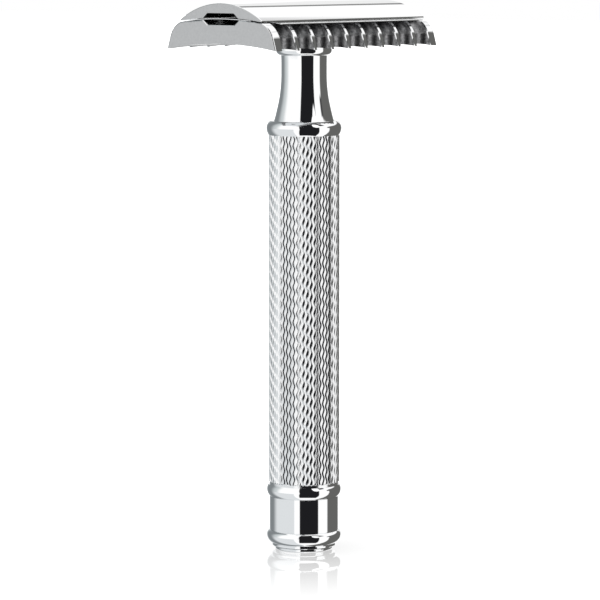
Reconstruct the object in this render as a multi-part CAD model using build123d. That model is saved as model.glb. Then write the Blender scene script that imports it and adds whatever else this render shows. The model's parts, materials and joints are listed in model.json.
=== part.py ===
from build123d import *

import math
import os

# Double-edge safety razor with an open comb, in millimetres.
# +Z runs up the handle, X along the blade, and the origin is the centre of the foot.
# The head comes apart into cap, blade and base plate when the handle is unscrewed.

# ---------------------------------------------------------------- driving sizes

# Handle, from the foot up
foot_radius = 4.95
foot_height = 0.45
foot_edge = 0.2            # rounding of the edge that stands on the shelf
foot_hollow_radius = 3.4
foot_hollow_depth = 0.3
step_radius = 5.45
step_top = 1.1
step_groove = 0.12         # depth of the fine grooves either side of the step
bead_radius = 6.4          # widest point of the two pommel beads
pommel_bead_low = 5.75     # radius where the lower bead starts above the step
pommel_bead_widest = 2.5
pommel_bead_top = 3.3
band_radius = 5.94
band_height = 6.0
band_edge = 0.12
upper_bead_height = 1.95
upper_bead_low = 6.02      # radius at the bead's lower rim
upper_bead_widest = 1.05   # height of the widest point above the lower rim
upper_bead_high = 6.12     # radius at the bead's upper rim
grip_radius = 6.07
grip_length = 60.1
collar_radius = 6.45
collar_height = 2.4
collar_rim = 6.1           # radius at the collar's lower rim
collar_top = 5.85          # radius at the collar's upper rim
collar_widest = 1.2        # height of the widest point above the lower rim

# Neck above the collar: radius at a height above the collar
neck_root_radius = 5.18
neck_root_lean = (-1, 2.6)     # direction in which the neck leaves the collar
neck_flare = [(1.6, 4.74), (3.7, 4.28), (5.7, 4.02)]
neck_waist_radius = 3.92
neck_waist_low = 7.7
neck_waist_high = 9.7
neck_lip_low = 11.1
neck_lip_low_radius = 3.95
neck_lip_height = 0.85     # height of the rounded underside of the lip
neck_lip_radius = 4.78
neck_lip_edge = 0.3
neck_length = 13.32

# Hollow core of the handle
core_radius = 4.6          # bore of the tube, beads, band and collar
neck_spigot_length = 8.0
pommel_spigot_length = 7.5
tie_rod_radius = 1.5
tie_rod_grip = 4.0         # length of rod held in each end

# Thread between cap and neck
stud_radius = 2.5
stud_tip_chamfer = 0.5
thread_engagement = 8.0
bore_extra_depth = 1.5

# Base plate, heights above the comb's lower edge
head_length = 43.0
plate_width = 23.9
plate_crown = 5.05
plate_crown_radius = 80.0
plate_shoulder_inset = 2.95    # comb tip to where the shoulder begins
facet_height = 2.05
facet_inset = 0.6
plate_underside_rise = 1.0
plate_edge = 0.28
channel_width = 7.8            # channel along the head, at the parting line
channel_floor_width = 5.8
plate_channel_depth = 0.8
seat_radius = 5.6
seat_depth = 0.2               # seat pad below the underside's highest line

# Comb
tooth_count = 8
tooth_width = 0.55
rail_width = 1.7               # solid rail at each end of the comb
notch_depth = 1.8              # from the comb tip to the notch's root
flute_reach = 4.75             # from the comb tip to the flute's upper end

# Cap, sizes as for the base plate
cap_width = 17.9
cap_crest = 7.7
cap_arc_radius = 15.85
cap_clamp_radius = 65.0
cap_channel_rise = 0.85
cap_edge = 0.18

# Blade: the standard double-edge sheet
blade_length = 43.0
blade_width = 22.0
blade_thickness = 0.1
blade_edge_length = 37.3
blade_tab_width = 13.2
blade_centre_hole_radius = 3.1
blade_slot_width = 2.4
blade_slot_length = 36.0
blade_pin_hole_radius = 1.75

# Locating pins
pin_radius = 1.5
pin_offset = 12.0
pin_point = 0.4
pin_recess = 1.0               # each pin stops this far above the plate's underside
socket_depth = 0.9             # how far stud and pins sit into the cap

# Clearances
press_gap = 0.02               # between pieces of one body that slide together
thread_gap = 0.06
pin_gap = 0.07
blade_gap = 0.03
seat_gap = 0.03
plate_stud_gap = 0.1
blade_end_gap = 0.02           # each blade tab stops just inside the head's end
cutter_margin = 2.0            # a cutting tool reaches this far past what it cuts

# ---------------------------------------------------------------- derived places

band_low = pommel_bead_top
band_top = band_low + band_height
tube_low = band_top + upper_bead_height
tube_top = tube_low + grip_length
neck_low = tube_top + collar_height
neck_top = neck_low + neck_length
spigot_radius = core_radius - press_gap

seat_rise = plate_underside_rise - seat_depth
comb_low = neck_top + seat_gap - seat_rise
tip_y = plate_width / 2
channel_half = channel_width / 2
cap_half = cap_width / 2
notch_pitch = (head_length - 2 * rail_width + tooth_width) / (tooth_count + 1)


def arc_height(apex, radius, y):
    """Height of a downward-bending arc at distance y from the middle."""
    return apex - radius + math.sqrt(radius ** 2 - y ** 2)


shoulder_y = tip_y - plate_shoulder_inset
shoulder_z = arc_height(plate_crown, plate_crown_radius, shoulder_y)
facet_y = tip_y - facet_inset
channel_mouth_z = arc_height(plate_crown, plate_crown_radius, channel_half)
plate_channel_z = channel_mouth_z - plate_channel_depth

blade_inner_radius = plate_crown_radius + blade_gap
blade_outer_radius = blade_inner_radius + blade_thickness
blade_top_crown = plate_crown + blade_gap + blade_thickness

cap_rim_low = arc_height(blade_top_crown, blade_outer_radius, cap_half) + blade_gap
cap_clamp_crown = cap_rim_low + cap_clamp_radius - math.sqrt(cap_clamp_radius ** 2 - cap_half ** 2)
cap_mouth_z = arc_height(cap_clamp_crown, cap_clamp_radius, channel_half)
cap_channel_z = cap_mouth_z + cap_channel_rise
socket_top = comb_low + cap_channel_z + socket_depth

stud_low = neck_top - thread_engagement
stud_bore_radius = stud_radius + thread_gap
pin_low = comb_low + plate_underside_rise + pin_recess
pin_hole_radius = pin_radius + pin_gap


# ---------------------------------------------------------------- helpers

def turned(outline):
    """Solid of revolution about Z from a closed outline of edges in the XZ plane."""
    return revolve(make_face(outline), Axis.Z, 360)


def bulge(low, widest, high):
    """Two arcs of a convex bead that stands upright at its widest point."""
    return [TangentArc(widest, low, tangent=(0, -1)), TangentArc(widest, high, tangent=(0, 1))]


def ring_cylinder(outer, inner, low, high):
    """Plain tube between two heights."""
    height = high - low
    ring = Circle(outer) - Circle(inner)
    return extrude(Pos(0, 0, low) * ring, height)


def along_head(outline, length, lift):
    """Solid with a closed outline in the YZ plane, centred on X and raised by lift."""
    face = Plane.YZ * make_face(outline)
    return Pos(-length / 2, 0, lift) * extrude(face, length)


def pillar(radius, low, high, x=0.0):
    """Upright cylinder at (x, 0) between two heights."""
    return Pos(x, 0, low) * Cylinder(radius, high - low, align=(Align.CENTER, Align.CENTER, Align.MIN))


# ---------------------------------------------------------------- handle pieces

def make_pommel_cap():
    """Foot and lower bead in one turned piece, with the spigot that carries the band."""
    groove = step_radius - step_groove
    spigot_top = tube_low + pommel_spigot_length
    outline = Curve() + [
        Polyline(
            (0, foot_hollow_depth),
            (foot_hollow_radius, foot_hollow_depth),
            (foot_hollow_radius + foot_hollow_depth, 0),
            (foot_radius - foot_edge, 0),
        ),
        TangentArc((foot_radius - foot_edge, 0), (foot_radius, foot_edge), tangent=(1, 0)),
        Polyline(
            (foot_radius, foot_edge),
            (foot_radius, foot_height - step_groove),
            (foot_radius - step_groove, foot_height),
            (groove, foot_height + step_groove),
            (step_radius, foot_height + 2 * step_groove),
            (step_radius, step_top - step_groove),
            (groove, step_top),
            (pommel_bead_low, step_top + step_groove),
        ),
        *bulge(
            (pommel_bead_low, step_top + step_groove),
            (bead_radius, pommel_bead_widest),
            (band_radius, pommel_bead_top),
        ),
        Polyline(
            (band_radius, pommel_bead_top),
            (spigot_radius, pommel_bead_top),
            (spigot_radius, spigot_top),
            (0, spigot_top),
            (0, foot_hollow_depth),
        ),
    ]
    body = turned(Plane.XZ * outline)
    rod_hole = pillar(tie_rod_radius + press_gap, spigot_top - tie_rod_grip, spigot_top)
    return body - rod_hole


def make_pommel_band():
    """Plain band between the two beads."""
    band = ring_cylinder(band_radius, core_radius, band_low, band_top)
    wall_middle = (core_radius + band_radius) / 2
    rims = band.edges().filter_by(GeomType.CIRCLE).filter_by(lambda e: e.radius > wall_middle)
    return chamfer(rims, band_edge)


def make_bead_ring():
    """Rounded bead between the band and the grip."""
    low = (upper_bead_low, band_top)
    high = (upper_bead_high, tube_low)
    outline = Curve() + [
        Polyline((core_radius, band_top), low),
        *bulge(low, (bead_radius, band_top + upper_bead_widest), high),
        Polyline(high, (core_radius, tube_low), (core_radius, band_top)),
    ]
    return turned(Plane.XZ * outline)


def make_grip_tube():
    """Tube that carries the engraved grip pattern on its outer face."""
    return ring_cylinder(grip_radius, core_radius, tube_low, tube_top)


def make_collar_ring():
    """Fat rounded ring between the grip and the neck."""
    low = (collar_rim, tube_top)
    high = (collar_top, neck_low)
    outline = Curve() + [
        Polyline((core_radius, tube_top), low),
        *bulge(low, (collar_radius, tube_top + collar_widest), high),
        Polyline(high, (core_radius, neck_low), (core_radius, tube_top)),
    ]
    return turned(Plane.XZ * outline)


def make_neck():
    """Waisted neck: spigot below, threaded bore for the stud above."""
    z = neck_low
    spigot_low = tube_top - neck_spigot_length
    waist = [(neck_waist_radius, z + neck_waist_low), (neck_waist_radius, z + neck_waist_high)]
    flare = [(neck_root_radius, z)] + [(r, z + h) for h, r in neck_flare] + [waist[0]]
    lip_foot = (neck_lip_low_radius, z + neck_lip_low)
    lip_edge = (neck_lip_radius, z + neck_lip_low + neck_lip_height)
    outline = Curve() + [
        Polyline((0, spigot_low), (spigot_radius, spigot_low), (spigot_radius, z), flare[0]),
        Spline(flare, tangents=[neck_root_lean, (0, 1)]),
        Line(waist[0], waist[1]),
        TangentArc(waist[1], lip_foot, tangent=(0, 1)),
        TangentArc(lip_edge, lip_foot, tangent=(0, -1)),
        Polyline(
            lip_edge,
            (neck_lip_radius, neck_top - neck_lip_edge),
            (neck_lip_radius - neck_lip_edge, neck_top),
            (0, neck_top),
            (0, spigot_low),
        ),
    ]
    body = turned(Plane.XZ * outline)
    bore = pillar(stud_bore_radius, stud_low - bore_extra_depth, neck_top)
    rod_hole = pillar(tie_rod_radius + press_gap, spigot_low, spigot_low + tie_rod_grip)
    return body - bore - rod_hole


def make_tie_rod():
    """Rod that pulls pommel, band, tube and collar against the neck."""
    low = tube_low + pommel_spigot_length - tie_rod_grip + press_gap
    high = tube_top - neck_spigot_length + tie_rod_grip - press_gap
    return pillar(tie_rod_radius, low, high)


# ---------------------------------------------------------------- head pieces

def plate_outline():
    """Cross-section of the base plate, in (Y, height above the comb's lower edge)."""
    rise = plate_channel_z
    floor = channel_floor_width / 2
    facet_slope = (-facet_inset, facet_height)
    crown_mid = (channel_half + shoulder_y) / 2
    crown_mid_z = arc_height(plate_crown, plate_crown_radius, crown_mid)
    edges = [
        ThreePointArc((-tip_y, 0), (0, plate_underside_rise), (tip_y, 0)),
        Line((-floor, rise), (floor, rise)),
    ]
    for side in (-1, 1):
        edges += [
            Line((side * tip_y, 0), (side * facet_y, facet_height)),
            TangentArc(
                (side * facet_y, facet_height),
                (side * shoulder_y, shoulder_z),
                tangent=(side * facet_slope[0], facet_slope[1]),
            ),
            ThreePointArc(
                (side * shoulder_y, shoulder_z),
                (side * crown_mid, crown_mid_z),
                (side * channel_half, channel_mouth_z),
            ),
            Line((side * channel_half, channel_mouth_z), (side * floor, rise)),
        ]
    return Curve() + edges


def notch_tool(x, side):
    """Tool for one comb notch: an upright round slot below, leaning inwards as a flute above."""
    radius = (notch_pitch - tooth_width) / 2
    mouth_length = flute_reach + cutter_margin
    mouth = Pos(0, mouth_length / 2) * Rectangle(2 * radius, mouth_length)
    plan = Pos(0, radius) * (Circle(radius) + mouth)
    slot = extrude(plan, -facet_height - cutter_margin)
    lean = Vector(0, notch_depth - flute_reach, plate_crown - facet_height)
    flute = extrude(plan, 2 * lean.length, dir=lean)
    turn = Rot(0, 0, 0) if side > 0 else Rot(0, 0, 180)
    place = Pos(x, side * (tip_y - notch_depth), comb_low + facet_height) * turn
    return [place * slot, place * flute]


def make_base_plate():
    """Open-comb plate with its channel, stud hole, pin holes and the seat for the neck."""
    plate = along_head(plate_outline(), head_length, comb_low)
    ends = plate.faces().filter_by(Axis.X)
    upper_outline = ends.edges().filter_by(lambda e: e.length < plate_width)
    plate = fillet(upper_outline, plate_edge)
    pad_low = comb_low + seat_rise
    pad = pillar(seat_radius, pad_low, comb_low + facet_height)
    plate = plate + pad
    tools = []
    for index in range(tooth_count + 1):
        x = (index - tooth_count / 2) * notch_pitch
        tools += notch_tool(x, 1) + notch_tool(x, -1)
    low = comb_low - cutter_margin
    high = comb_low + plate_crown + cutter_margin
    tools.append(pillar(stud_radius + plate_stud_gap, low, high))
    for side in (-1, 1):
        tools.append(pillar(pin_hole_radius, low, high, side * pin_offset))
    for tool in tools:
        plate = plate - tool
    return plate


def make_razor_blade():
    """Thin sheet bent over the plate's crown, with its slot and four cut corners."""
    bend = blade_width / (2 * (blade_inner_radius + blade_thickness / 2))
    centre_z = plate_crown - plate_crown_radius
    corners = {}
    for radius in (blade_inner_radius, blade_outer_radius):
        for side in (-1, 0, 1):
            corners[radius, side] = (
                radius * math.sin(side * bend),
                centre_z + radius * math.cos(side * bend),
            )
    inner, outer = blade_inner_radius, blade_outer_radius
    outline = Curve() + [
        ThreePointArc(corners[inner, -1], corners[inner, 0], corners[inner, 1]),
        Line(corners[inner, 1], corners[outer, 1]),
        ThreePointArc(corners[outer, 1], corners[outer, 0], corners[outer, -1]),
        Line(corners[outer, -1], corners[inner, -1]),
    ]
    sheet = along_head(outline, blade_length - 2 * blade_end_gap, comb_low)
    slot = Rectangle(blade_slot_length, blade_slot_width) + Circle(blade_centre_hole_radius)
    for side in (-1, 1):
        slot += Pos(side * pin_offset, 0) * Circle(blade_pin_hole_radius)
        slot += Pos(side * blade_slot_length / 2, 0) * Circle(blade_slot_width / 2)
    corner_x = (blade_length - blade_edge_length) / 2
    corner_y = (blade_width - blade_tab_width) / 2
    cuts = [Pos(0, 0, comb_low) * extrude(slot, 2 * cap_crest)]
    for side_x in (-1, 1):
        for side_y in (-1, 1):
            place = Pos(side_x * blade_length / 2, side_y * blade_width / 2, comb_low + plate_crown)
            cuts.append(place * Box(2 * corner_x, 2 * corner_y, 4 * plate_crown))
    return sheet - cuts


def make_cap():
    """Arched cap with the channel under it and blind sockets for stud and pins."""
    floor = channel_floor_width / 2
    rim_top = arc_height(cap_crest, cap_arc_radius, cap_half)
    clamp_mid = (channel_half + cap_half) / 2
    clamp_mid_z = arc_height(cap_clamp_crown, cap_clamp_radius, clamp_mid)
    edges = [
        ThreePointArc((-cap_half, rim_top), (0, cap_crest), (cap_half, rim_top)),
        Line((-floor, cap_channel_z), (floor, cap_channel_z)),
    ]
    for side in (-1, 1):
        edges += [
            Line((side * cap_half, rim_top), (side * cap_half, cap_rim_low)),
            ThreePointArc(
                (side * cap_half, cap_rim_low),
                (side * clamp_mid, clamp_mid_z),
                (side * channel_half, cap_mouth_z),
            ),
            Line((side * channel_half, cap_mouth_z), (side * floor, cap_channel_z)),
        ]
    body = along_head(Curve() + edges, head_length, comb_low)
    ends = body.faces().filter_by(Axis.X)
    outer_arcs = ends.edges().filter_by(lambda e: e.center().Z > comb_low + cap_channel_z)
    body = fillet(outer_arcs, cap_edge)
    sockets = [pillar(stud_radius + press_gap, comb_low, socket_top + press_gap)]
    for side in (-1, 1):
        sockets.append(pillar(pin_radius + press_gap, comb_low, socket_top + press_gap, side * pin_offset))
    return body - sockets


def make_cap_stud():
    """Stud fixed in the cap that screws into the neck."""
    stud = pillar(stud_radius, stud_low, socket_top)
    tip = stud.edges().filter_by(GeomType.CIRCLE).sort_by(Axis.Z)[0]
    return chamfer(tip, stud_tip_chamfer)


def make_locating_pin(side):
    """Pin fixed in the cap that lines up blade and base plate."""
    pin = pillar(pin_radius, pin_low, socket_top, side * pin_offset)
    tip = pin.edges().filter_by(GeomType.CIRCLE).sort_by(Axis.Z)[0]
    return chamfer(tip, pin_point)


# ---------------------------------------------------------------- write the nodes

nodes = {
    "pommel_cap": make_pommel_cap(),
    "pommel_band": make_pommel_band(),
    "bead_ring": make_bead_ring(),
    "grip_tube": make_grip_tube(),
    "collar_ring": make_collar_ring(),
    "neck": make_neck(),
    "tie_rod": make_tie_rod(),
    "base_plate": make_base_plate(),
    "razor_blade": make_razor_blade(),
    "cap": make_cap(),
    "cap_stud": make_cap_stud(),
    "locating_pin_left": make_locating_pin(-1),
    "locating_pin_right": make_locating_pin(1),
}

os.makedirs("parts", exist_ok=True)
for name, solid in nodes.items():
    export_step(solid, f"parts/{name}.step")
print("head starts at", round(comb_low, 3), "and the razor is", round(comb_low + cap_crest, 3), "tall")
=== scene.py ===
# %% [markdown]
# # A chromed safety razor in Blender
#
# This lesson finishes the looks of a three-piece safety razor whose working parts already exist as a
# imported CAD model. The model is loaded as a fixed frame. Pieces whose shape is right keep their mesh
# and only get a finish. Pieces whose charm is in fine surface detail are made again here, inside the
# same sizes. Chrome shows nothing but its surroundings, so half of the work is the studio around it.

# %% Load the frame
import json
import math
import bpy
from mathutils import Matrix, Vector


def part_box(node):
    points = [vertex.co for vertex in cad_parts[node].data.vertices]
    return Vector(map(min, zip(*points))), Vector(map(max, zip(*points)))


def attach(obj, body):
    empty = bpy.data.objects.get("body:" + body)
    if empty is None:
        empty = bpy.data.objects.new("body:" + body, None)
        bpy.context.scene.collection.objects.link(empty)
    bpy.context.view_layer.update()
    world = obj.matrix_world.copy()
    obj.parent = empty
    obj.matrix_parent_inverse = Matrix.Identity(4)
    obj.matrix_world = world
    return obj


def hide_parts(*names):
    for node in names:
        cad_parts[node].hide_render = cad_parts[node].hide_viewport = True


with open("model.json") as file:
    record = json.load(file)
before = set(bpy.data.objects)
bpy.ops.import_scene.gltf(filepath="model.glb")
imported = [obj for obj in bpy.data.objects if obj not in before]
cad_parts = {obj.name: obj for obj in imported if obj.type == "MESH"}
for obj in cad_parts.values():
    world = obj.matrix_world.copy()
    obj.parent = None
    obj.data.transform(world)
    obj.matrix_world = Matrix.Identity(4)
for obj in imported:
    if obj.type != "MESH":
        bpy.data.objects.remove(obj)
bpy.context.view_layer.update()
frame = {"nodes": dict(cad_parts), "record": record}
nodes = frame["nodes"]
MM = 0.001
print("pieces in the frame:", sorted(nodes))

# %% [markdown]
# ## The camera
#
# The razor stands upright and is seen a little from above, with one end of the head towards the lens.
# A long lens keeps the handle's sides almost parallel. The camera is turned towards the middle of the
# razor rather than shifted, so that it behaves the same way from any other side.

# %% Place the camera
VIEW_TURN = math.radians(-50.0)
VIEW_DISTANCE = 586 * MM
VIEW_HEIGHT = 105 * MM
LENS_MM = 206.3
SENSOR_MM = 36.0
AIM_HEIGHT = 43.0 * MM
AIM_LEFT = 0.7 * MM

to_camera = Vector((math.sin(VIEW_TURN), -math.cos(VIEW_TURN), 0))
to_right = Vector((math.cos(VIEW_TURN), math.sin(VIEW_TURN), 0))

camera_data = bpy.data.cameras.new("camera")
camera_data.lens = LENS_MM
camera_data.sensor_width = SENSOR_MM
camera_data.clip_start = 10 * MM
camera = bpy.data.objects.new("camera", camera_data)
bpy.context.scene.collection.objects.link(camera)
camera.location = to_camera * VIEW_DISTANCE + Vector((0, 0, VIEW_HEIGHT))
aim = Vector((0, 0, AIM_HEIGHT)) - to_right * AIM_LEFT
camera.rotation_euler = (aim - camera.location).to_track_quat("-Z", "Y").to_euler()
bpy.context.scene.camera = camera
print("camera at", [round(v, 3) for v in camera.location])

# %% [markdown]
# ## Small helpers for node trees
#
# Every shader and geometry tree below is made of the same few moves: add a node, set its values, and
# join sockets. Two short functions keep the trees readable.

# %% Node helpers
def add_node(tree, kind, **settings):
    """A new node, with attributes set by name."""
    node = tree.nodes.new(kind)
    for name, value in settings.items():
        setattr(node, name, value)
    return node


def feed(tree, socket, value):
    """Puts a number or another node's output into an input socket."""
    if isinstance(value, bpy.types.NodeSocket):
        tree.links.new(value, socket)
    else:
        socket.default_value = value


def calc(tree, operation, *values):
    """A math node: calc(tree, "ADD", a, b) gives the socket that holds a + b."""
    kind = "ShaderNodeMath"
    node = add_node(tree, kind, operation=operation)
    for socket, value in zip(node.inputs, values):
        feed(tree, socket, value)
    return node.outputs[0]


def dot_with(tree, vector, direction):
    """The length of a vector along a fixed direction."""
    node = add_node(tree, "ShaderNodeVectorMath", operation="DOT_PRODUCT")
    feed(tree, node.inputs[0], vector)
    node.inputs[1].default_value = direction
    return node.outputs["Value"]


def soft_step(tree, value, edge, softness):
    """0 below an edge and 1 above it, with a smooth change of the given width."""
    node = add_node(tree, "ShaderNodeMapRange", interpolation_type="SMOOTHSTEP")
    feed(tree, node.inputs["Value"], value)
    node.inputs["From Min"].default_value = edge - softness / 2
    node.inputs["From Max"].default_value = edge + softness / 2
    return node.outputs["Result"]


# %% [markdown]
# ## The studio
#
# Polished chrome has no colour of its own. What reads as chrome is a clean pattern of white and black
# panels around the object. On a round handle, a panel at an angle of a degrees from the camera shows
# up at half that angle round the handle. So the panels are listed by compass angle from the camera
# (positive to the right) and by height above the horizon, both in degrees. They live in the world
# shader, so that they light the razor evenly from far away, and the camera itself sees plain white.

# %% List the panels
# name, turn from, turn to, height from, height to, edge softness, lean, brightness (red, green, blue)
# The lean widens a panel by so many degrees on each side for each degree away from the horizon.
PANELS = [
    ("left wall", -200, -33, -90, -6, 4, 0, (0.775, 0.80, 0.815)),
    ("left wall above the table", -170, -88, -6, 60, 24, 0, (0.62, 0.66, 0.67)),
    ("far left corner", -162, -113, -90, 60, 30, 0, (0.23, 0.25, 0.26)),
    ("far wall", 120, 181, -6, 19, 3, 0, (0.90, 0.90, 0.90)),
    ("far rail", 120, 181, 19, 22, 2, 0, (0.20, 0.20, 0.20)),
    ("far shelf edge", 110, 181, 36, 37.5, 2, 0, (0.72, 0.72, 0.72)),
    ("grey flag on the right", 84.5, 156, -90, 23, 5, 0, (0.135, 0.135, 0.13)),
    ("dark shelf on the right", 77, 87, 10, 20, 5, 0, (0.06, 0.06, 0.06)),
    ("dark ceiling", -14, 76, 36, 74, 6, 0, (0.03, 0.03, 0.033)),
    ("black flag at the camera", -13.5, 47.5, -56, 74, 3, 0.1, (0.014, 0.014, 0.016)),
]
SOFTBOX_TURN = 43
SOFTBOX_HALF_TURN = 13
SOFTBOX_HEIGHT = 41
SOFTBOX_HALF_HEIGHT = 21
SOFTBOX_EDGE = 0.25
SOFTBOX_BRIGHTNESS = (1.2, 1.2, 1.2)
LEVEL_SOFTNESS = 5
STUDIO_WHITE = (1.1, 1.1, 1.1, 1)


# %% Build the world shader
def build_world():
    """World shader: the panels for everything that reflects, plain white for the camera."""
    world = bpy.data.worlds.new("studio")
    bpy.context.scene.world = world
    world.use_nodes = True
    tree = world.node_tree
    tree.nodes.clear()
    direction = add_node(tree, "ShaderNodeTexCoord").outputs["Generated"]
    across = dot_with(tree, direction, to_right)
    towards = dot_with(tree, direction, to_camera)
    upwards = dot_with(tree, direction, (0, 0, 1))
    turn = calc(tree, "DEGREES", calc(tree, "ARCTAN2", across, towards))
    height = calc(tree, "DEGREES", calc(tree, "ARCSINE", upwards))
    colour = STUDIO_WHITE

    def lay_over(name, colour, mask, brightness):
        """The picture so far with one more panel in front of it."""
        mix = add_node(tree, "ShaderNodeMix", data_type="RGBA", label=name)
        feed(tree, mix.inputs["Factor"], mask)
        feed(tree, mix.inputs[6], colour)
        mix.inputs[7].default_value = (*brightness, 1)
        return mix.outputs[2]

    for name, left, right, low, high, softness, lean, brightness in PANELS:
        level = min(softness, LEVEL_SOFTNESS)
        widening = calc(tree, "MULTIPLY", calc(tree, "ABSOLUTE", height), lean)
        after_left = soft_step(tree, calc(tree, "ADD", turn, widening), left, softness)
        from_right = soft_step(tree, calc(tree, "SUBTRACT", turn, widening), right, softness)
        before_right = calc(tree, "SUBTRACT", 1.0, from_right)
        above_low = soft_step(tree, height, low, level)
        below_high = calc(tree, "SUBTRACT", 1.0, soft_step(tree, height, high, level))
        wide = calc(tree, "MULTIPLY", after_left, before_right)
        tall = calc(tree, "MULTIPLY", above_low, below_high)
        colour = lay_over(name, colour, calc(tree, "MULTIPLY", wide, tall), brightness)

    aside = calc(tree, "DIVIDE", calc(tree, "SUBTRACT", turn, SOFTBOX_TURN), SOFTBOX_HALF_TURN)
    above = calc(tree, "DIVIDE", calc(tree, "SUBTRACT", height, SOFTBOX_HEIGHT), SOFTBOX_HALF_HEIGHT)
    from_centre = calc(tree, "ADD", calc(tree, "POWER", aside, 2.0), calc(tree, "POWER", above, 2.0))
    oval = calc(tree, "SUBTRACT", 1.0, soft_step(tree, from_centre, 1.0, SOFTBOX_EDGE))
    colour = lay_over("oval softbox", colour, oval, SOFTBOX_BRIGHTNESS)

    seen = add_node(tree, "ShaderNodeLightPath").outputs["Is Camera Ray"]
    plain = lay_over("white for the camera", colour, seen, (1.0, 1.0, 1.0))
    background = add_node(tree, "ShaderNodeBackground")
    feed(tree, background.inputs["Color"], plain)
    output = add_node(tree, "ShaderNodeOutputWorld")
    feed(tree, output.inputs["Surface"], background.outputs[0])


build_world()
bpy.context.scene.view_settings.view_transform = "Standard"
print("panels in the studio:", len(PANELS) + 1)

# %% [markdown]
# ## The floor
#
# The razor stands on a pale glossy sheet that shows a faint, quickly fading reflection. The sheet is
# a stage piece, not part of the razor. Its glow is painted light that stands in for the studio light
# on the sheet; it grows with the distance from the foot, and drowns the reflection there. The chrome
# doesn't see the sheet, so that the panels can run below the horizon, as they do round a small real table.

# %% Make the floor
FLOOR_HALF = 3.0
FLOOR_PALE = (0.12, 0.12, 0.12, 1)
FLOOR_IOR = 2.0
FLOOR_ROUGHNESS = 0.03
FADE_START = 4 * MM
FADE_END = 48 * MM
GLOW_NEAR = 0.50
GLOW_FAR = 1.0


def build_floor():
    """Large pale sheet with a soft reflection near the foot."""
    mesh = bpy.data.meshes.new("floor")
    corners = [(-1, -1), (1, -1), (1, 1), (-1, 1)]
    mesh.from_pydata([(x * FLOOR_HALF, y * FLOOR_HALF, 0) for x, y in corners], [], [(0, 1, 2, 3)])
    floor = bpy.data.objects.new("floor", mesh)
    bpy.context.scene.collection.objects.link(floor)
    floor.visible_glossy = False
    material = bpy.data.materials.new("pale sheet")
    material.use_nodes = True
    tree = material.node_tree
    shader = tree.nodes["Principled BSDF"]
    place = add_node(tree, "ShaderNodeTexCoord").outputs["Object"]
    reach = add_node(tree, "ShaderNodeVectorMath", operation="LENGTH")
    feed(tree, reach.inputs[0], place)
    # Painted glow: emission that stands in for the studio light on the sheet, weaker near the foot.
    glow = add_node(tree, "ShaderNodeMapRange")
    feed(tree, glow.inputs["Value"], reach.outputs["Value"])
    glow.inputs["From Min"].default_value = FADE_START
    glow.inputs["From Max"].default_value = FADE_END
    glow.inputs["To Min"].default_value = GLOW_NEAR
    glow.inputs["To Max"].default_value = GLOW_FAR
    feed(tree, shader.inputs["Emission Strength"], glow.outputs["Result"])
    shader.inputs["Emission Color"].default_value = (1, 1, 1, 1)
    shader.inputs["Base Color"].default_value = FLOOR_PALE
    shader.inputs["Roughness"].default_value = FLOOR_ROUGHNESS
    shader.inputs["IOR"].default_value = FLOOR_IOR
    mesh.materials.append(material)
    return floor


print("stage piece:", build_floor().name)

# %% [markdown]
# ## Chrome and steel
#
# All the bright pieces share one shader group. It breaks up the polish a little: faint cloudy haze
# from handling, and very fine polishing lines that run round the piece. The metal itself is in each
# material's own shader, with a plain metallic value.

# %% Shader group: handled polish
CLOUD_DETAIL = 4.0
LINE_DETAIL = 3.0
LINE_STRETCH = (0.1, 0.1, 1.0)
VEIL_DARKEST = 0.97


def group_with(name, inputs, outputs):
    """An empty shader group with named sockets."""
    group = bpy.data.node_groups.new(name, "ShaderNodeTree")
    for label, kind, default in inputs:
        socket = group.interface.new_socket(label, in_out="INPUT", socket_type=kind)
        socket.default_value = default
    for label, kind in outputs:
        group.interface.new_socket(label, in_out="OUTPUT", socket_type=kind)
    start = add_node(group, "NodeGroupInput")
    end = add_node(group, "NodeGroupOutput")
    return group, start, end


def build_polish():
    """Shader group that gives a metal's colour, haze and fine lines over the surface."""
    group, start, end = group_with(
        "handled polish",
        [
            ("Tone", "NodeSocketColor", (0.9, 0.9, 0.9, 1)),
            ("Haze", "NodeSocketFloat", 0.03),
            ("Haze spread", "NodeSocketFloat", 0.03),
            ("Cloud size", "NodeSocketFloat", 90.0),
            ("Line size", "NodeSocketFloat", 900.0),
        ],
        [("Color", "NodeSocketColor"), ("Roughness", "NodeSocketFloat"), ("Height", "NodeSocketFloat")],
    )
    place = add_node(group, "ShaderNodeTexCoord").outputs["Object"]
    cloud = add_node(group, "ShaderNodeTexNoise")
    feed(group, cloud.inputs["Vector"], place)
    feed(group, cloud.inputs["Scale"], start.outputs["Cloud size"])
    cloud.inputs["Detail"].default_value = CLOUD_DETAIL
    stretch = add_node(group, "ShaderNodeMapping")
    feed(group, stretch.inputs["Vector"], place)
    stretch.inputs["Scale"].default_value = LINE_STRETCH
    lines = add_node(group, "ShaderNodeTexNoise")
    feed(group, lines.inputs["Vector"], stretch.outputs["Vector"])
    feed(group, lines.inputs["Scale"], start.outputs["Line size"])
    lines.inputs["Detail"].default_value = LINE_DETAIL
    haze = calc(
        group,
        "ADD",
        start.outputs["Haze"],
        calc(group, "MULTIPLY", cloud.outputs["Fac"], start.outputs["Haze spread"]),
    )
    shade = add_node(group, "ShaderNodeMix", data_type="RGBA", blend_type="MULTIPLY")
    shade.inputs["Factor"].default_value = 1.0
    feed(group, shade.inputs[6], start.outputs["Tone"])
    veil = add_node(group, "ShaderNodeMapRange")
    feed(group, veil.inputs["Value"], cloud.outputs["Fac"])
    veil.inputs["To Min"].default_value = VEIL_DARKEST
    veil.inputs["To Max"].default_value = 1.0
    feed(group, shade.inputs[7], veil.outputs["Result"])
    feed(group, end.inputs["Color"], shade.outputs[2])
    feed(group, end.inputs["Roughness"], haze)
    feed(group, end.inputs["Height"], lines.outputs["Fac"])
    return group


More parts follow.
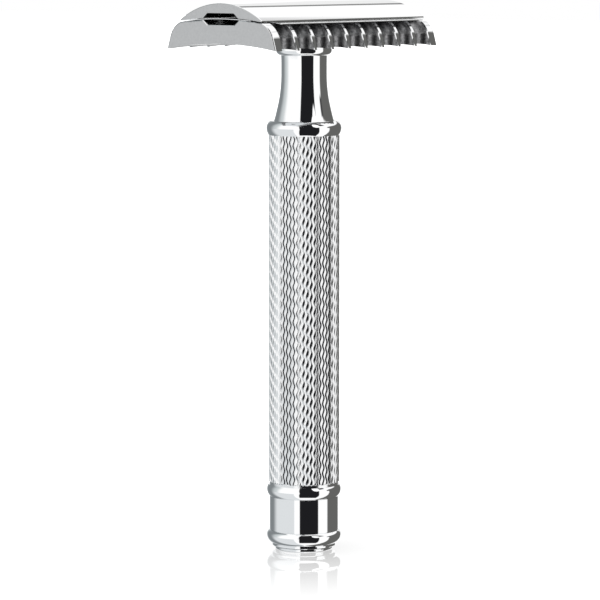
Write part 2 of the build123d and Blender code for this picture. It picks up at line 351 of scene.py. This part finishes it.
polish = build_polish()


def metal(name, tone, haze, spread, line_size, line_depth):
    """A metal with the handled polish, its fine lines as a shallow bump."""
    material = bpy.data.materials.new(name)
    material.use_nodes = True
    tree = material.node_tree
    shader = tree.nodes["Principled BSDF"]
    shader.inputs["Metallic"].default_value = 1.0
    finish = add_node(tree, "ShaderNodeGroup", node_tree=polish)
    finish.inputs["Tone"].default_value = (*tone, 1)
    finish.inputs["Haze"].default_value = haze
    finish.inputs["Haze spread"].default_value = spread
    finish.inputs["Line size"].default_value = line_size
    feed(tree, shader.inputs["Base Color"], finish.outputs["Color"])
    feed(tree, shader.inputs["Roughness"], finish.outputs["Roughness"])
    bump = add_node(tree, "ShaderNodeBump")
    bump.inputs["Strength"].default_value = 1.0
    bump.inputs["Distance"].default_value = line_depth
    feed(tree, bump.inputs["Height"], finish.outputs["Height"])
    feed(tree, shader.inputs["Normal"], bump.outputs["Normal"])
    return material


# %% [markdown]
# ## Places on a piece with another finish or painted shade
#
# One plated piece can carry more than one finish. The end faces of cap and base plate were ground
# flat across the bar, so they are an even satin grey. The notches of the comb are painted dark, as
# painted shade in these recesses, and are also rougher and mottled. The blade is grey sheet with
# two brighter honed edges. Each place is found by a mask over the piece: a shader group gives a mask
# of what lies beyond a distance along one axis, on both sides, and a second one finds the notches.

# %% Shader group: beyond a distance
def build_beyond():
    """Shader group with a mask that is 1 beyond a distance along one axis, on both sides."""
    group, start, end = group_with(
        "beyond a distance",
        [
            ("Axis", "NodeSocketVector", (1, 0, 0)),
            ("Distance", "NodeSocketFloat", 20 * MM),
            ("Softness", "NodeSocketFloat", 0.02 * MM),
        ],
        [("Mask", "NodeSocketFloat")],
    )
    along = add_node(group, "ShaderNodeVectorMath", operation="DOT_PRODUCT")
    feed(group, along.inputs[0], add_node(group, "ShaderNodeTexCoord").outputs["Object"])
    feed(group, along.inputs[1], start.outputs["Axis"])
    ramp = add_node(group, "ShaderNodeMapRange", interpolation_type="SMOOTHSTEP")
    feed(group, ramp.inputs["Value"], calc(group, "ABSOLUTE", along.outputs["Value"]))
    feed(group, ramp.inputs["From Min"], start.outputs["Distance"])
    full = calc(group, "ADD", start.outputs["Distance"], start.outputs["Softness"])
    feed(group, ramp.inputs["From Max"], full)
    feed(group, end.inputs["Mask"], ramp.outputs["Result"])
    return group


beyond = build_beyond()
print("shader groups:", polish.name, "and", beyond.name)

# %% [markdown]
# The notches are found by depth. The comb's outer outline is a straight facet below and a round
# shoulder above it. Whatever lies behind that outline is in the notches, and gets painted shade and a
# duller finish.

# %% Shader group: the comb's notches
COMB_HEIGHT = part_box("base_plate")[0].z
COMB_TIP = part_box("base_plate")[1].y
FACET_HEIGHT = 2.05 * MM
FACET_INSET = 0.6 * MM
SHOULDER_RADIUS = 3.77 * MM
SHOULDER_INSET = 4.22 * MM
SHOULDER_LEVEL = 0.99 * MM
SHOULDER_CENTRE = (COMB_TIP - SHOULDER_INSET, COMB_HEIGHT + SHOULDER_LEVEL)
NOTCH_REACH = 5.0 * MM


def build_notches():
    """Shader group with a mask of the surfaces that lie inside the comb's outer outline."""
    group, start, end = group_with(
        "comb notches",
        [("Depth", "NodeSocketFloat", 0.12 * MM), ("Softness", "NodeSocketFloat", 0.08 * MM)],
        [("Mask", "NodeSocketFloat")],
    )
    spot = add_node(group, "ShaderNodeSeparateXYZ")
    feed(group, spot.inputs[0], add_node(group, "ShaderNodeTexCoord").outputs["Object"])
    side = calc(group, "ABSOLUTE", spot.outputs["Y"])
    from_shoulder = calc(group, "SUBTRACT", side, SHOULDER_CENTRE[0])
    from_level = calc(group, "SUBTRACT", spot.outputs["Z"], SHOULDER_CENTRE[1])
    across = calc(group, "POWER", from_shoulder, 2.0)
    up = calc(group, "POWER", from_level, 2.0)
    radius = calc(group, "SQRT", calc(group, "ADD", across, up))
    under_shoulder = calc(group, "SUBTRACT", SHOULDER_RADIUS, radius)
    height = calc(group, "SUBTRACT", spot.outputs["Z"], COMB_HEIGHT)
    facet = calc(group, "MULTIPLY_ADD", height, -FACET_INSET / FACET_HEIGHT, COMB_TIP)
    behind_facet = calc(group, "SUBTRACT", facet, side)
    above_facet = calc(group, "GREATER_THAN", height, FACET_HEIGHT)
    choose = add_node(group, "ShaderNodeMix", data_type="FLOAT")
    feed(group, choose.inputs["Factor"], above_facet)
    feed(group, choose.inputs[2], behind_facet)
    feed(group, choose.inputs[3], under_shoulder)
    ramp = add_node(group, "ShaderNodeMapRange", interpolation_type="SMOOTHSTEP")
    feed(group, ramp.inputs["Value"], choose.outputs[0])
    feed(group, ramp.inputs["From Min"], start.outputs["Depth"])
    full = calc(group, "ADD", start.outputs["Depth"], start.outputs["Softness"])
    feed(group, ramp.inputs["From Max"], full)
    outside = calc(group, "GREATER_THAN", side, COMB_TIP - NOTCH_REACH)
    feed(group, end.inputs["Mask"], calc(group, "MULTIPLY", ramp.outputs["Result"], outside))
    return group


notches = build_notches()
print("comb starts at", round(COMB_HEIGHT / MM, 2), "mm and reaches", round(COMB_TIP / MM, 2), "mm")

# %% Put a second finish on part of a piece
GRAIN_SCALE = 2500.0
GRAIN_DETAIL = 3.0
GRAIN_LOW = 0.3
GRAIN_HIGH = 0.7


def second_finish(material, mask_group, tone, haze, mottle, **settings):
    """Gives a material another tone and haze where a mask group says, with some mottling."""
    tree = material.node_tree
    shader = tree.nodes["Principled BSDF"]
    where = add_node(tree, "ShaderNodeGroup", node_tree=mask_group)
    for label, value in settings.items():
        where.inputs[label].default_value = value
    grain = add_node(tree, "ShaderNodeTexNoise")
    feed(tree, grain.inputs["Vector"], add_node(tree, "ShaderNodeTexCoord").outputs["Object"])
    grain.inputs["Scale"].default_value = GRAIN_SCALE
    grain.inputs["Detail"].default_value = GRAIN_DETAIL
    spread = add_node(tree, "ShaderNodeMapRange")
    feed(tree, spread.inputs["Value"], grain.outputs["Fac"])
    spread.inputs["From Min"].default_value = GRAIN_LOW
    spread.inputs["From Max"].default_value = GRAIN_HIGH
    spread.inputs["To Min"].default_value = 1.0 - mottle
    spread.inputs["To Max"].default_value = 1.0 + mottle
    toned = add_node(tree, "ShaderNodeVectorMath", operation="SCALE")
    toned.inputs[0].default_value = tone
    feed(tree, toned.inputs["Scale"], spread.outputs["Result"])
    colour = add_node(tree, "ShaderNodeMix", data_type="RGBA")
    feed(tree, colour.inputs["Factor"], where.outputs["Mask"])
    feed(tree, colour.inputs[6], shader.inputs["Base Color"].links[0].from_socket)
    feed(tree, colour.inputs[7], toned.outputs["Vector"])
    feed(tree, shader.inputs["Base Color"], colour.outputs[2])
    dull = add_node(tree, "ShaderNodeMix", data_type="FLOAT")
    feed(tree, dull.inputs["Factor"], where.outputs["Mask"])
    feed(tree, dull.inputs[2], shader.inputs["Roughness"].links[0].from_socket)
    dull.inputs[3].default_value = haze
    feed(tree, shader.inputs["Roughness"], dull.outputs[0])


# %% Make the metals
chrome = metal("polished chrome", (0.93, 0.935, 0.94), 0.02, 0.03, 900.0, 0.0)
grip_chrome = metal("engraved chrome", (0.90, 0.905, 0.91), 0.13, 0.05, 900.0, 0.0)
cap_chrome = metal("cap chrome", (0.93, 0.935, 0.94), 0.02, 0.03, 900.0, 0.0)
comb_chrome = metal("comb chrome", (0.93, 0.935, 0.94), 0.02, 0.03, 900.0, 0.0)
blade_steel = metal("blade steel", (0.80, 0.81, 0.82), 0.16, 0.06, 1500.0, 0.3e-6)
plain_steel = metal("plain steel", (0.62, 0.62, 0.61), 0.25, 0.08, 1500.0, 0.8e-6)

END_MARGIN = 0.05 * MM
HONED_WIDTH = 0.7 * MM
head_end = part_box("cap")[1].x - END_MARGIN
honed_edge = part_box("razor_blade")[1].y - HONED_WIDTH
ALONG_HEAD = (1, 0, 0)
ACROSS_HEAD = (0, 1, 0)
# The notches get painted shade: their tone is darkened to 0.30, with a rougher, mottled finish.
second_finish(comb_chrome, notches, (0.30, 0.30, 0.305), 0.36, 0.40)
for finish in (comb_chrome, cap_chrome):
    second_finish(finish, beyond, (0.51, 0.515, 0.52), 0.28, 0.04, Axis=ALONG_HEAD, Distance=head_end)
second_finish(blade_steel, beyond, (0.95, 0.955, 0.96), 0.08, 0.03, Axis=ACROSS_HEAD, Distance=honed_edge)
print("metals:", [m.name for m in (chrome, cap_chrome, comb_chrome, grip_chrome, blade_steel, plain_steel)])

# %% [markdown]
# ## The engraved grip
#
# The grip is a tube with sixty wavy grooves cut along it. Each groove swings from side to side, and
# each one starts its swing a quarter of a wave later than its neighbour, so the ridges between them
# look like plaited rope. The pattern follows a rule, so Geometry Nodes can make all of it from a flat
# grid that is rolled into a tube. Each groove takes three grid columns: its bottom and the two edges
# of the ridge beside it. The columns follow the wave, which keeps the grooves crisp with few faces.
# The cutter leaned a little, so one wall of each groove is steeper than the other. Where two grooves
# come close, the ridge between them is lower and sharp. The grid's first and last rows fold inwards
# and make the tube's bore.

# %% Sizes of the grip
GRIP_GROOVES = 60
GRIP_ROWS = 421
GRIP_WAVE = 2.0 * MM
GRIP_SWING = 0.21
GRIP_DEPTH = 0.12 * MM
GRIP_WALL_LEFT = 0.285
GRIP_WALL_RIGHT = 0.37
GRIP_LAND = 0.45 * MM
GRIP_LEAST_GAP = 0.04
GRIP_BORE = 4.6 * MM
grip_low, grip_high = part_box("grip_tube")
grip_radius = grip_high.x


def group_inputs(tree, table):
    """Adds the tree's named inputs and returns its input node."""
    for label, kind, default in table:
        socket = tree.interface.new_socket(label, in_out="INPUT", socket_type=kind)
        socket.default_value = default
    return add_node(tree, "NodeGroupInput")


# %% Helpers for a grid that is rolled into a tube
WELD_DISTANCE = 1e-6


def grid_counters(tree, columns, rows):
    """A flat grid, with fields that count its columns and rows from 0."""
    grid = add_node(tree, "GeometryNodeMeshGrid")
    feed(tree, grid.inputs["Vertices X"], calc(tree, "ADD", columns, 1))
    feed(tree, grid.inputs["Vertices Y"], calc(tree, "ADD", rows, 1))
    grid.inputs["Size X"].default_value = 1.0
    grid.inputs["Size Y"].default_value = 1.0
    spot = add_node(tree, "ShaderNodeSeparateXYZ")
    feed(tree, spot.inputs[0], add_node(tree, "GeometryNodeInputPosition").outputs[0])
    column = calc(tree, "MULTIPLY", calc(tree, "ADD", spot.outputs["X"], 0.5), columns)
    row = calc(tree, "MULTIPLY", calc(tree, "ADD", spot.outputs["Y"], 0.5), rows)
    return grid.outputs["Mesh"], calc(tree, "ROUND", column), calc(tree, "ROUND", row)


def roll_up(tree, mesh, turn, radius, height, material):
    """Sends each grid point to its place on the tube, welds the seams and sets the finish."""
    place = add_node(tree, "ShaderNodeCombineXYZ")
    feed(tree, place.inputs["X"], calc(tree, "MULTIPLY", radius, calc(tree, "COSINE", turn)))
    feed(tree, place.inputs["Y"], calc(tree, "MULTIPLY", radius, calc(tree, "SINE", turn)))
    feed(tree, place.inputs["Z"], height)
    roll = add_node(tree, "GeometryNodeSetPosition")
    feed(tree, roll.inputs["Geometry"], mesh)
    feed(tree, roll.inputs["Position"], place.outputs[0])
    weld = add_node(tree, "GeometryNodeMergeByDistance")
    feed(tree, weld.inputs["Geometry"], roll.outputs[0])
    weld.inputs["Distance"].default_value = WELD_DISTANCE
    real = add_node(tree, "GeometryNodeRealizeInstances")
    feed(tree, real.inputs[0], weld.outputs[0])
    paint = add_node(tree, "GeometryNodeSetMaterial")
    feed(tree, paint.inputs["Geometry"], real.outputs[0])
    paint.inputs["Material"].default_value = material
    tree.interface.new_socket("Mesh", in_out="OUTPUT", socket_type="NodeSocketGeometry")
    end = add_node(tree, "NodeGroupOutput")
    feed(tree, end.inputs[0], paint.outputs[0])


def pick(tree, condition, if_false, if_true):
    """One of two numbers, chosen for each point."""
    node = add_node(tree, "GeometryNodeSwitch", input_type="FLOAT")
    feed(tree, node.inputs["Switch"], condition)
    feed(tree, node.inputs["False"], if_false)
    feed(tree, node.inputs["True"], if_true)
    return node.outputs[0]


# %% Geometry Nodes tree: wavy grooves on a rolled grid
def build_grip_tree():
    """Tree that rolls a grid into a tube with phase-shifted wavy grooves."""
    tree = bpy.data.node_groups.new("wavy grip", "GeometryNodeTree")
    start = group_inputs(
        tree,
        [
            ("Grooves", "NodeSocketInt", GRIP_GROOVES),
            ("Rows", "NodeSocketInt", GRIP_ROWS),
            ("Radius", "NodeSocketFloat", grip_radius),
            ("Bore", "NodeSocketFloat", GRIP_BORE),
            ("Low", "NodeSocketFloat", grip_low.z),
            ("Length", "NodeSocketFloat", grip_high.z - grip_low.z),
            ("Wave", "NodeSocketFloat", GRIP_WAVE),
            ("Swing", "NodeSocketFloat", GRIP_SWING),
            ("Depth", "NodeSocketFloat", GRIP_DEPTH),
            ("Wall left", "NodeSocketFloat", GRIP_WALL_LEFT),
            ("Wall right", "NodeSocketFloat", GRIP_WALL_RIGHT),
            ("Land", "NodeSocketFloat", GRIP_LAND),
        ],
    )
    value = start.outputs
    columns = calc(tree, "MULTIPLY", value["Grooves"], 3)
    rows = calc(tree, "ADD", value["Rows"], 2)
    mesh, column, row = grid_counters(tree, columns, rows)

    up = calc(tree, "DIVIDE", calc(tree, "SUBTRACT", row, 1), calc(tree, "SUBTRACT", value["Rows"], 1))
    up = calc(tree, "MINIMUM", calc(tree, "MAXIMUM", up, 0.0), 1.0)
    last_row = calc(tree, "GREATER_THAN", row, calc(tree, "ADD", value["Rows"], 1.5))
    up = calc(tree, "MULTIPLY", up, calc(tree, "SUBTRACT", 1.0, last_row))
    rise = calc(tree, "MULTIPLY", up, value["Length"])
    past_outer = calc(tree, "GREATER_THAN", row, calc(tree, "ADD", value["Rows"], 0.5))
    inner = calc(tree, "ADD", calc(tree, "LESS_THAN", row, 0.5), past_outer)

    cell = calc(tree, "FLOOR", calc(tree, "DIVIDE", calc(tree, "ADD", column, 0.5), 3))
    corner = calc(tree, "SUBTRACT", column, calc(tree, "MULTIPLY", cell, 3))
    wave_turn = calc(tree, "DIVIDE", calc(tree, "MULTIPLY", rise, math.tau), value["Wave"])

    def groove_line(number):
        """Where a groove's bottom runs at this height, counted in grooves."""
        phase = calc(tree, "MULTIPLY_ADD", number, math.pi / 2, wave_turn)
        return calc(tree, "MULTIPLY_ADD", calc(tree, "SINE", phase), value["Swing"], number)

    left = groove_line(cell)
    right = groove_line(calc(tree, "ADD", cell, 1))
    walls = calc(tree, "ADD", value["Wall left"], value["Wall right"])
    room = calc(tree, "SUBTRACT", calc(tree, "SUBTRACT", right, left), GRIP_LEAST_GAP)
    full = calc(tree, "MINIMUM", calc(tree, "DIVIDE", room, walls), 1.0)
    ridge_left = calc(tree, "MULTIPLY_ADD", value["Wall right"], full, left)
    ridge_right = calc(tree, "SUBTRACT", right, calc(tree, "MULTIPLY", value["Wall left"], full))
    on_ridge = calc(tree, "GREATER_THAN", corner, 0.5)
    on_right = calc(tree, "GREATER_THAN", corner, 1.5)
    line = pick(tree, on_ridge, left, pick(tree, on_right, ridge_left, ridge_right))
    line = pick(tree, inner, line, calc(tree, "DIVIDE", column, 3))
    turn = calc(tree, "DIVIDE", calc(tree, "MULTIPLY", line, math.tau), value["Grooves"])

    ridge_height = calc(tree, "MULTIPLY", calc(tree, "MULTIPLY", full, on_ridge), value["Depth"])
    end_slope = calc(tree, "MAXIMUM", calc(tree, "SUBTRACT", rise, value["Land"]), 0.0)
    stand = calc(tree, "MINIMUM", ridge_height, end_slope)
    outer_radius = calc(tree, "ADD", calc(tree, "SUBTRACT", value["Radius"], value["Depth"]), stand)
    radius = pick(tree, inner, outer_radius, value["Bore"])
    roll_up(tree, mesh, turn, radius, calc(tree, "ADD", rise, value["Low"]), grip_chrome)
    return tree


# %% Turn a Geometry Nodes result into a plain mesh
def from_nodes(name, tree, sharp_degrees=40, **inputs):
    """Object with the tree's result as its own mesh, sharp only at real corners."""
    seed = bpy.data.objects.new(name + "_seed", bpy.data.meshes.new(name + "_seed"))
    bpy.context.scene.collection.objects.link(seed)
    modifier = seed.modifiers.new("nodes", "NODES")
    modifier.node_group = tree
    sockets = {s.name: s.identifier for s in tree.interface.items_tree if s.in_out == "INPUT"}
    for label, value in inputs.items():
        modifier[sockets[label]] = value
    shown = seed.evaluated_get(bpy.context.evaluated_depsgraph_get())
    mesh = bpy.data.meshes.new_from_object(shown)
    mesh.name = name
    bpy.data.objects.remove(seed)
    piece = bpy.data.objects.new(name, mesh)
    bpy.context.scene.collection.objects.link(piece)
    mesh.shade_smooth()
    mesh.set_sharp_from_angle(angle=math.radians(sharp_degrees))
    triangles = sum(len(p.vertices) - 2 for p in mesh.polygons)
    print(name, "has", len(mesh.vertices), "vertices and", triangles, "triangles")
    return piece


grip = from_nodes("engraved_grip", build_grip_tree(), sharp_degrees=12)
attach(grip, "handle")
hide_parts("grip_tube")

# %% [markdown]
# ## The threaded stud
#
# When the handle is unscrewed, the stud shows between the cap and the base plate. A thread is one
# groove that climbs by its pitch in each turn, so it also follows a rule, and the same rolled grid
# makes it: the height within a turn sets how deep the surface lies. Both ends run out to a plain
# land, and the first and last rows shrink to the axis, which closes the ends. The whole thread stays
# inside the stud of the working model.

# %% Sizes of the thread
THREAD_PITCH = 0.8 * MM
THREAD_DEPTH = 0.42 * MM
THREAD_LAND = 0.5 * MM
THREAD_FLANK = 2.4
THREAD_COLUMNS = 48
THREAD_ROWS = 240
stud_low, stud_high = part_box("cap_stud")


# %% Geometry Nodes tree: a thread on a rolled grid
def build_thread_tree():
    """Tree that rolls a grid into a stud with one climbing groove and closed ends."""
    tree = bpy.data.node_groups.new("stud thread", "GeometryNodeTree")
    start = group_inputs(
        tree,
        [
            ("Columns", "NodeSocketInt", THREAD_COLUMNS),
            ("Rows", "NodeSocketInt", THREAD_ROWS),
            ("Radius", "NodeSocketFloat", stud_high.x),
            ("Low", "NodeSocketFloat", stud_low.z),
            ("Length", "NodeSocketFloat", stud_high.z - stud_low.z),
            ("Pitch", "NodeSocketFloat", THREAD_PITCH),
            ("Depth", "NodeSocketFloat", THREAD_DEPTH),
            ("Land", "NodeSocketFloat", THREAD_LAND),
        ],
    )
    value = start.outputs
    rows = calc(tree, "ADD", value["Rows"], 2)
    mesh, column, row = grid_counters(tree, value["Columns"], rows)
    up = calc(tree, "DIVIDE", calc(tree, "SUBTRACT", row, 1), value["Rows"])
    up = calc(tree, "MINIMUM", calc(tree, "MAXIMUM", up, 0.0), 1.0)
    rise = calc(tree, "MULTIPLY", up, value["Length"])
    turn = calc(tree, "DIVIDE", calc(tree, "MULTIPLY", column, math.tau), value["Columns"])
    turns_up = calc(tree, "DIVIDE", rise, value["Pitch"])
    along = calc(tree, "SUBTRACT", turns_up, calc(tree, "DIVIDE", turn, math.tau))
    flank = calc(tree, "ABSOLUTE", calc(tree, "SUBTRACT", calc(tree, "FRACT", along), 0.5))
    groove = calc(tree, "MINIMUM", calc(tree, "MULTIPLY", flank, THREAD_FLANK), 1.0)
    from_end = calc(tree, "MINIMUM", rise, calc(tree, "SUBTRACT", value["Length"], rise))
    run_out = calc(tree, "MINIMUM", calc(tree, "DIVIDE", from_end, value["Land"]), 1.0)
    cut = calc(tree, "MULTIPLY", calc(tree, "MULTIPLY", groove, run_out), value["Depth"])
    tip = calc(tree, "MAXIMUM", calc(tree, "SUBTRACT", value["Land"], rise), 0.0)
    outer = calc(tree, "SUBTRACT", calc(tree, "SUBTRACT", value["Radius"], cut), tip)
    past_top = calc(tree, "GREATER_THAN", row, calc(tree, "ADD", value["Rows"], 1.5))
    on_axis = calc(tree, "ADD", calc(tree, "LESS_THAN", row, 0.5), past_top)
    radius = pick(tree, on_axis, outer, 0.0)
    roll_up(tree, mesh, turn, radius, calc(tree, "ADD", rise, value["Low"]), plain_steel)
    return tree


# %% Make the stud
stud = from_nodes("threaded_stud", build_thread_tree(), sharp_degrees=30)
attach(stud, "top")
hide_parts("cap_stud")

# %% [markdown]
# ## Finish the frame's own pieces
#
# The other pieces already have the right shape, so they keep their mesh. The record says which finish
# each one takes. Cap and base plate take the versions of chrome that also know their ground ends.

# %% Give the frame's own pieces their finish
OWN_FINISH = {"cap": cap_chrome, "base_plate": comb_chrome}
FINISH = {
    "polished_chrome": chrome,
    "engraved_chrome": grip_chrome,
    "blade_steel": blade_steel,
    "plain_steel": plain_steel,
}
for part in frame["record"]["subparts"]:
    target = nodes[part["node"]]
    target.data.materials.clear()
    target.data.materials.append(OWN_FINISH.get(part["node"], FINISH[part["material_slot"]]))

# %% [markdown]
# ## A box as plain numbers
#
# The finished piece stays inside the box of the working model. A box is turned into plain lists of numbers.

# %% A box as plain numbers
def plain(box):
    """A box as plain lists of numbers."""
    return [list(map(float, corner)) for corner in box]
